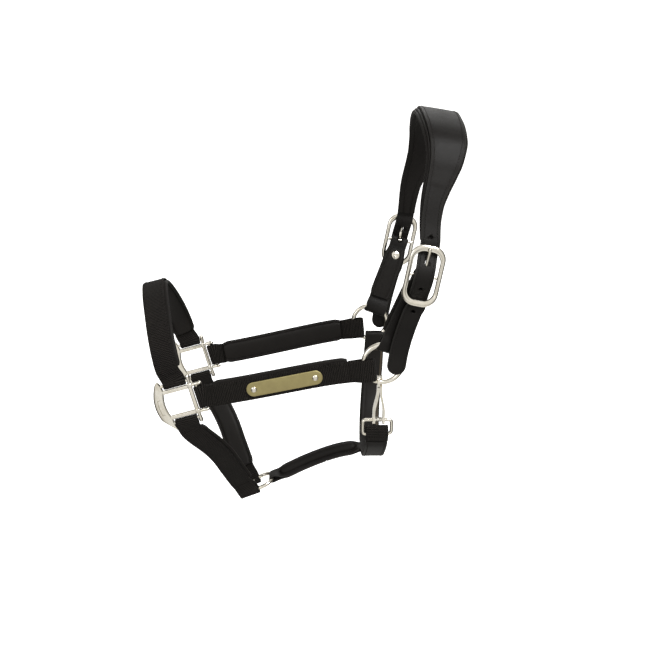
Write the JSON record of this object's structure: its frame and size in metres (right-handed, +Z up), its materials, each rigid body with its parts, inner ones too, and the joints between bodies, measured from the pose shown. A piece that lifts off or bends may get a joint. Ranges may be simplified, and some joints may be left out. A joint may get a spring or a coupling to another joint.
{
  "type": "leather headcollar",
  "caption": "Stable headcollar with a padded leather crown, webbing nose and cheek straps, metal squares, rings, crown buckles and a throat snap.",
  "frame": {"origin": "middle of the crown pad's underside, where it rests on the poll", "axes": "+X along the head from nose to poll, +Y towards the far (right) side, +Z up; the buckled near (left) side with the throat snap is -Y"},
  "size_m": [0.3577, 0.2196, 0.4646],
  "materials": {
    "black_leather": "smooth, lightly waxed",
    "black_lining_leather": "soft, matt",
    "black_webbing": "ribbed weave",
    "bright_nickel": "polished, slightly warm",
    "aged_brass": "brushed"
  },
  "bodies": {
    "headcollar": {"crown_strap": "black_leather", "near_cheek_billet": "black_leather", "far_cheek_billet": "black_leather", "jaw_strap": "black_leather", "throat_strap": "black_leather", "crown_pad": "black_lining_leather", "noseband_pad": "black_lining_leather", "near_billet_lining": "black_lining_leather", "far_billet_lining": "black_lining_leather", "near_cheek_lining": "black_lining_leather", "far_cheek_lining": "black_lining_leather", "near_chin_lining": "black_lining_leather", "far_chin_lining": "black_lining_leather", "throat_lining": "black_lining_leather", "noseband_strap": "black_webbing", "near_cheek_strap": "black_webbing", "far_cheek_strap": "black_webbing", "near_chin_strap": "black_webbing", "far_chin_strap": "black_webbing", "throat_tab": "black_webbing", "near_buckle_frame": "bright_nickel", "far_buckle_frame": "bright_nickel", "near_billet_screw": "bright_nickel", "far_billet_screw": "bright_nickel", "near_square": "bright_nickel", "far_square": "bright_nickel", "plate_rivet_front": "bright_nickel", "plate_rivet_rear": "bright_nickel", "name_plate": "aged_brass"},
    "near_tongue": {"near_buckle_tongue": "bright_nickel"},
    "far_tongue": {"far_buckle_tongue": "bright_nickel"},
    "near_ring": {"near_jowl_ring": "bright_nickel"},
    "far_ring": {"far_jowl_ring": "bright_nickel"},
    "lead_ring": {"chin_ring": "bright_nickel"},
    "loop": {"snap_loop": "bright_nickel"},
    "snap": {"snap_spring": "bright_nickel"},
    "front_jaw": {"snap_jaw_front": "bright_nickel"},
    "rear_jaw": {"snap_jaw_rear": "bright_nickel"}
  },
  "joints": [
    {"name": "near_tongue_lift", "type": "hinge", "parent": "headcollar", "child": "near_tongue", "pos_m": [-0.0215, -0.1015, -0.1555], "axis": [0.9816, 0, -0.1908], "range_deg": [0, 8]},
    {"name": "far_tongue_lift", "type": "hinge", "parent": "headcollar", "child": "far_tongue", "pos_m": [-0.0215, 0.1015, -0.1555], "axis": [-0.9816, 0, 0.1908], "range_deg": [0, 8]},
    {"name": "near_ring_turn", "type": "hinge", "parent": "headcollar", "child": "near_ring", "pos_m": [-0.0595, -0.0825, -0.257], "axis": [0, 1, 0], "continuous": true},
    {"name": "far_ring_turn", "type": "hinge", "parent": "headcollar", "child": "far_ring", "pos_m": [-0.0595, 0.0825, -0.257], "axis": [0, 1, 0], "continuous": true},
    {"name": "lead_ring_turn", "type": "hinge", "parent": "headcollar", "child": "lead_ring", "pos_m": [-0.197, 0, -0.436], "axis": [-0.4067, 0, 0.9135], "continuous": true},
    {"name": "loop_fold", "type": "hinge", "parent": "headcollar", "child": "loop", "pos_m": [-0.064, -0.077, -0.3415], "axis": [1, 0, 0], "range_deg": [0, 75]},
    {"name": "snap_swing", "type": "hinge", "parent": "loop", "child": "snap", "pos_m": [-0.0625, -0.077, -0.325], "axis": [1, 0, 0], "range_deg": [-45, 45]},
    {"name": "front_jaw_open", "type": "hinge", "parent": "snap", "child": "front_jaw", "pos_m": [-0.0625, -0.077, -0.325], "axis": [1, 0, 0], "range_deg": [0, 15], "stiffness_Nm_per_rad": 0.05, "springref_deg": -11.46},
    {"name": "rear_jaw_open", "type": "hinge", "parent": "snap", "child": "rear_jaw", "pos_m": [-0.0625, -0.077, -0.325], "axis": [1, 0, 0], "range_deg": [-15, 0], "stiffness_Nm_per_rad": 0.05, "springref_deg": 11.46}
  ]
}
